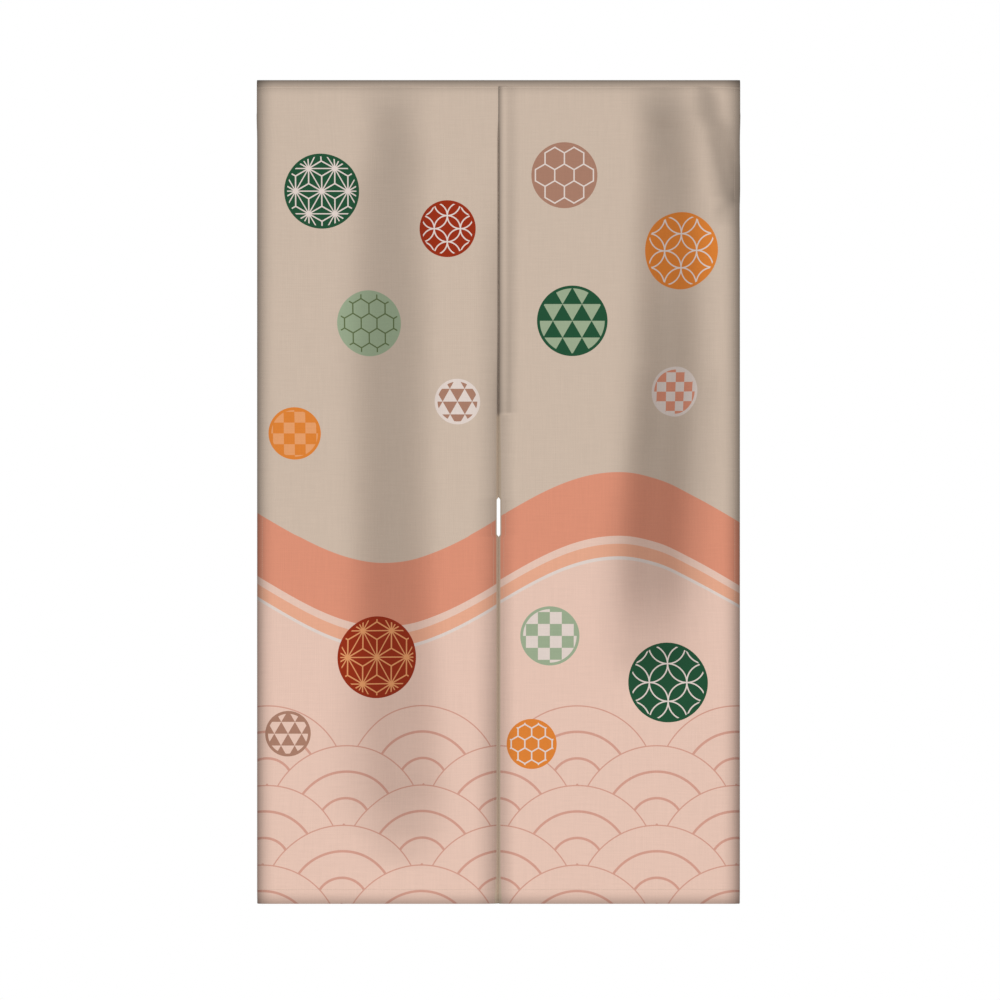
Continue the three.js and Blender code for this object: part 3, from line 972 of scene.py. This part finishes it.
def overlapping_fans(top_row):
    """Fans of radius 1 in rows half a radius apart, each row behind the one below it. Distance is
    that from the centre of the fan that shows, and Fan is 0 above the top row."""
    group, given = ornament("overlapping fans", (), ("Distance", "Fan"))
    split = put(group, "ShaderNodeSeparateXYZ", {0: given.outputs["Place"]})
    x, y = split.outputs[0], split.outputs[1]
    rows_up = put(group, "ShaderNodeMath", {0: y, 1: 2.0, 2: -2.0}, operation="MULTIPLY_ADD")
    lowest = put(group, "ShaderNodeMath", {0: rows_up}, operation="CEIL")
    distance, fan = 1.0, 0.0
    for rows_above in (2.0, 1.0, 0.0):
        row = put(group, "ShaderNodeMath", {0: lowest, 1: rows_above}, operation="ADD")
        height = put(group, "ShaderNodeMath", {0: row, 1: 0.5}, operation="MULTIPLY")
        odd = put(group, "ShaderNodeMath", {0: row, 1: 2.0}, operation="FLOORED_MODULO")
        shifted = put(group, "ShaderNodeMath", {0: x, 1: odd}, operation="SUBTRACT")
        beside = put(group, "ShaderNodeMath", {0: shifted, 1: -1.0, 2: 1.0}, operation="WRAP")
        above = put(group, "ShaderNodeMath", {0: y, 1: height}, operation="SUBTRACT")
        off = put(group, "ShaderNodeCombineXYZ", {0: beside, 1: above})
        away = put(group, "ShaderNodeVectorMath", {0: off}, operation="LENGTH").outputs["Value"]
        within = put(group, "ShaderNodeMath", {0: away, 1: 1.0}, operation="LESS_THAN")
        allowed = put(group, "ShaderNodeMath", {0: row, 1: top_row + 0.5}, operation="LESS_THAN")
        shows = put(group, "ShaderNodeMath", {0: within, 1: allowed}, operation="MULTIPLY")
        distance = put(group, "ShaderNodeMix", {"Factor": shows, "A": distance, "B": away})
        fan = put(group, "ShaderNodeMath", {0: fan, 1: shows}, operation="MAXIMUM")
    put(group, "NodeGroupOutput", {"Distance": distance, "Fan": fan})
    return group


patterns = {name: triangle_lattice(name) for name in ("hemp leaf", "scales", "tortoiseshell")}
patterns["linked circles"] = linked_circles()
patterns["checks"] = checks()
fans = overlapping_fans(FANS["top row"])


def draw_print(tree, place):
    """The whole design, from its ground up."""
    split = put(tree, "ShaderNodeSeparateXYZ", {0: place})
    across, up = split.outputs[0], split.outputs[1]
    turn = math.tau / (WAVE["length"] * MM)
    angle = put(tree, "ShaderNodeMath", {0: across, 1: turn}, operation="MULTIPLY")
    swing = put(tree, "ShaderNodeMath", {0: angle}, operation="SINE")
    rise = put(
        tree,
        "ShaderNodeMath",
        {0: swing, 1: -WAVE["rise"] * MM, 2: WAVE["level"] * MM},
        operation="MULTIPLY_ADD",
    )
    below = put(tree, "ShaderNodeMath", {0: up, 1: rise}, operation="ADD")
    past = put(tree, "ShaderNodeMath", {0: below, 1: 0.0}, operation="LESS_THAN")
    colour = painted(tree, COLOURS["beige"], COLOURS["pink"], past)
    for start, end, name in WAVE_BANDS:
        under = put(tree, "ShaderNodeMath", {0: below, 1: -start * MM}, operation="LESS_THAN")
        above = put(tree, "ShaderNodeMath", {0: below, 1: -end * MM}, operation="GREATER_THAN")
        band = put(tree, "ShaderNodeMath", {0: under, 1: above}, operation="MULTIPLY")
        colour = painted(tree, colour, COLOURS[name], band)

    radius = FANS["radius"] * MM
    foot = put(tree, "ShaderNodeVectorMath", {0: place, 1: (0, FOOT, 0)}, operation="SUBTRACT")
    unit = put(tree, "ShaderNodeVectorMath", {0: foot, "Scale": 1 / radius}, operation="SCALE")
    shown = put(tree, "ShaderNodeGroup", {"Place": unit}, node_tree=fans)
    to_centre = {0: shown.outputs["Distance"], 1: FANS["rings"]}
    rings = put(tree, "ShaderNodeMath", to_centre, operation="MULTIPLY")
    to_ring = put(tree, "ShaderNodeMath", {0: rings, 1: 0.5}, operation="PINGPONG")
    line = FANS["rings"] * FANS["line"] * MM / radius
    on_ring = put(tree, "ShaderNodeMath", {0: to_ring, 1: line}, operation="LESS_THAN")
    on_fan = {0: on_ring, 1: shown.outputs["Fan"]}
    inked = put(tree, "ShaderNodeMath", on_fan, operation="MULTIPLY")
    colour = painted(tree, colour, COLOURS["line"], inked)

    for row in ROUNDELS:
        roundel = dict(zip(ROUNDEL_COLUMNS, row))
        centre = (roundel["across"] * MM, -roundel["down"] * MM, 0)
        local = put(tree, "ShaderNodeVectorMath", {0: place, 1: centre}, operation="SUBTRACT")
        away = put(tree, "ShaderNodeVectorMath", {0: local}, operation="LENGTH").outputs["Value"]
        scale = 1 / (roundel["pitch"] * MM)
        unit = put(tree, "ShaderNodeVectorMath", {0: local, "Scale": scale}, operation="SCALE")
        figure = put(
            tree,
            "ShaderNodeGroup",
            {"Place": unit, "Line": ROUNDEL_LINE / 2 / roundel["pitch"]},
            node_tree=patterns[roundel["pattern"]],
        )
        size, border = roundel["radius"] * MM, (roundel["radius"] - ROUNDEL_BORDER) * MM
        inner = put(tree, "ShaderNodeMath", {0: away, 1: border}, operation="LESS_THAN")
        drawn = put(tree, "ShaderNodeMath", {0: inner, 1: figure}, operation="MULTIPLY")
        ground, ink = COLOURS[roundel["ground"]], COLOURS[roundel["figure"]]
        disc = painted(tree, ground, ink, drawn)
        inside = put(tree, "ShaderNodeMath", {0: away, 1: size}, operation="LESS_THAN")
        colour = painted(tree, colour, disc, inside)
    return colour


def printed_face(tree, place):
    """The print, with the bare edge that it leaves at the slit, and the painted shade of folds and
    edges.
    """
    bare = put(tree, "ShaderNodeAttribute", attribute_name="bare")
    colour = painted(tree, draw_print(tree, place), COLOURS["bare edge"], bare.outputs["Fac"])
    return with_painted_shading(tree, colour)


def reverse_side(tree, place):
    """The back of the cloth, where the print shows through faintly."""
    return painted(tree, COLOURS["cream"], draw_print(tree, place), SHOW_THROUGH)


panel_face = woven_polyester("Printed woven polyester", printed_face)
panel_back = woven_polyester("Back of printed polyester", reverse_side)

# Each panel's side edges and foot are turned back once and sewn down with lockstitch, which shows
# on both faces. A row just below its top edge joins it to the heading. The rows run along lines
# of the grid, from the third place in.
TOP_ROW_DOWN, SIDE_ROW_IN, FOOT_ROW_UP, ROW_SKIP = 3, 9.5, 26, 2
top_row = TOP_MARKS.index(TOP_ROW_DOWN)
foot_row = FOOT_MARKS.index(FOOT_ROW_UP) - len(FOOT_MARKS)
side_column = OUTER_MARKS.index(SIDE_ROW_IN)
slit_column = -1 - INNER_MARKS.index(SIDE_ROW_IN)
slit_row = int(np.searchsorted(levels_down(), SLIT_START)) + 1


def hem_lines(surface, with_top):
    """The lines of stitches on one face of a panel, as places on its grid."""
    lines = [surface[top_row:, side_column], surface[slit_row:, slit_column]]
    lines.append(surface[foot_row, ROW_SKIP:-ROW_SKIP])
    if with_top:
        lines.append(surface[top_row, ROW_SKIP:-ROW_SKIP])
    return lines


hung = []
for panel in PANELS:
    face, behind, flat, values, hem = panel_grids(panel)
    node = f"panel_{panel['name']}"
    cloth = cloth_sheet(node + "_cloth", face, behind, flat, values, hem, [panel_face, panel_back])
    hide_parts(node)
    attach(cloth, "root")

    outward = (face - behind) / np.linalg.norm(face - behind, axis=2, keepdims=True)
    rows = hem_lines(face + outward * SINK, True) + hem_lines(behind - outward * SINK, False)
    stitches = sewn_rows(node + "_stitches", rows)
    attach(stitches, "root")
    cut_width = float(np.abs(flat[len(flat) // 2, 0, 0])) + 2 * SIDE_HEM
    cut_length = DROP - PANEL_TOP + FOOT_HEM
    hung.append((cloth, (cut_width, cut_length), [stitches]))

# The seam allowance
# Where the two panels are sewn together, their raw edges are pressed to the right behind the
# right panel as one strip of the printed cloth, and overcast with the same thread as the hems.
# It shows only from behind.
ALLOWANCE_PLACES = (-2.4, -1.2, 0, 1.5, 3, 5, 7.5, 10, 12.5, 15, 17.2)
ALLOWANCE_TOP, ALLOWANCE_FOOT, ALLOWANCE_ROWS = 60, SEAM_END + 6, 90
OVERCAST_ACROSS = 15

# From the seam, just behind the left panel's edge, the strip comes over 10 mm to lie on the back
# of the right panel, whose own edge is left out of account
SEAM_ACROSS, SEAM_BEHIND, ALLOWANCE_FALL, LIE_FROM = -0.3, 2.4, 10, 4

strip_down = np.linspace(ALLOWANCE_TOP, ALLOWANCE_FOOT, ALLOWANCE_ROWS)[:, None]
strip_across = np.array(ALLOWANCE_PLACES)[None, :] + 0 * strip_down
strip_down = strip_down + 0 * strip_across
left_panel, right_panel = PANELS
at_seam = lie(left_panel, SEAM_ACROSS + 0 * strip_across, strip_down)[0] + SEAM_BEHIND
on_right = lie(right_panel, np.maximum(strip_across, LIE_FROM), strip_down)[0]
on_right += (CLOTH + HEM_EXTRA + GAP) / MM
near_seam = curl(np.clip(strip_across, 0, None), reach=ALLOWANCE_FALL, depth=1, power=2)
strip_back = at_seam * near_seam + on_right * (1 - near_seam)
strip_face = np.stack([strip_across, FRONT / MM + strip_back, -strip_down], -1) * MM
allowance = cloth_sheet(
    "seam_allowance",
    strip_face,
    strip_face + np.array([0, CLOTH, 0]),
    strip_face[..., [0, 2]],
    {"painted_shading": np.ones_like(strip_back), "bare": np.zeros_like(strip_back)},
    np.zeros(strip_back.shape, dtype=bool),
    [panel_face, panel_back],
)
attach(allowance, "root")
overcast_line = strip_face[:, ALLOWANCE_PLACES.index(OVERCAST_ACROSS)]
overcast = sewn_rows("overcast_stitches", [overcast_line + np.array([0, CLOTH + SINK, 0])])
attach(overcast, "root")

# The allowance is cut in one with the left panel, so it is listed with that sheet's pieces.
hung[0][2].extend([allowance, overcast])
